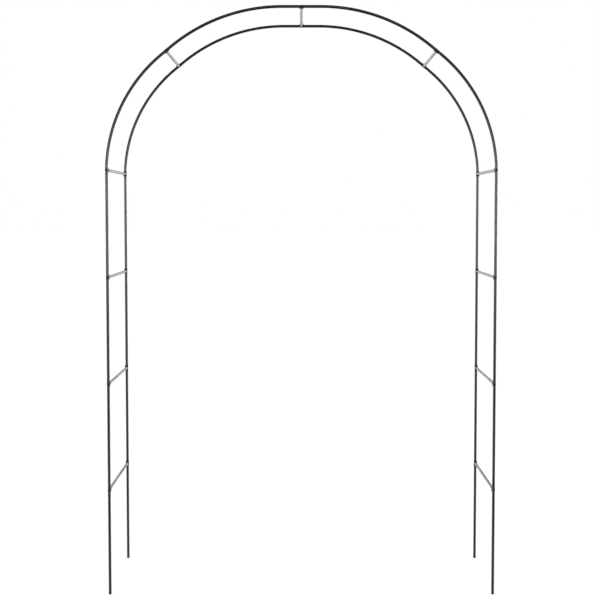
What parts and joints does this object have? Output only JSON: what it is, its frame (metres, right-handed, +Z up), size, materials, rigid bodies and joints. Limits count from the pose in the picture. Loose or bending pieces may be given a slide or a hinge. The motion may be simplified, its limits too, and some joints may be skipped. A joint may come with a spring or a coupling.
{
  "type": "metal trellis arch",
  "caption": "Free-standing round-topped garden arch: two hoops of thin push-fit steel tube joined by level crossbars, for climbing plants to grow over.",
  "frame": {"origin": "on the ground, midway between the four feet", "axes": "+Z up, +X to the right and +Y to the rear as seen from the front"},
  "size_m": [1.5878, 0.3972, 2.4009],
  "materials": {
    "hoop_tube": "very dark green satin-gloss powder coat",
    "crossbar": "pale grey-green satin powder coat",
    "saddle": "moulded black plastic",
    "screw": "black coated steel",
    "thread_insert": "zinc plated",
    "foot_plug": "moulded black plastic"
  },
  "bodies": {
    "root": {"front_left_foot_tube": "hoop_tube", "front_left_lower_tube": "hoop_tube", "front_left_middle_tube": "hoop_tube", "front_left_upper_tube": "hoop_tube", "front_left_haunch_tube": "hoop_tube", "front_left_crown_tube": "hoop_tube", "front_right_foot_tube": "hoop_tube", "front_right_lower_tube": "hoop_tube", "front_right_middle_tube": "hoop_tube", "front_right_upper_tube": "hoop_tube", "front_right_haunch_tube": "hoop_tube", "front_right_crown_tube": "hoop_tube", "rear_left_foot_tube": "hoop_tube", "rear_left_lower_tube": "hoop_tube", "rear_left_middle_tube": "hoop_tube", "rear_left_upper_tube": "hoop_tube", "rear_left_haunch_tube": "hoop_tube", "rear_left_crown_tube": "hoop_tube", "rear_right_foot_tube": "hoop_tube", "rear_right_lower_tube": "hoop_tube", "rear_right_middle_tube": "hoop_tube", "rear_right_upper_tube": "hoop_tube", "rear_right_haunch_tube": "hoop_tube", "rear_right_crown_tube": "hoop_tube", "left_foot_crossbar": "crossbar", "left_lower_crossbar": "crossbar", "left_middle_crossbar": "crossbar", "left_upper_crossbar": "crossbar", "left_shoulder_crossbar": "crossbar", "right_foot_crossbar": "crossbar", "right_lower_crossbar": "crossbar", "right_middle_crossbar": "crossbar", "right_upper_crossbar": "crossbar", "right_shoulder_crossbar": "crossbar", "crown_crossbar": "crossbar", "front_saddles": "saddle", "front_screws": "screw", "front_thread_inserts": "thread_insert", "rear_saddles": "saddle", "rear_screws": "screw", "rear_thread_inserts": "thread_insert", "front_left_foot_plug": "foot_plug", "front_right_foot_plug": "foot_plug", "rear_left_foot_plug": "foot_plug", "rear_right_foot_plug": "foot_plug"}
  },
  "joints": []
}
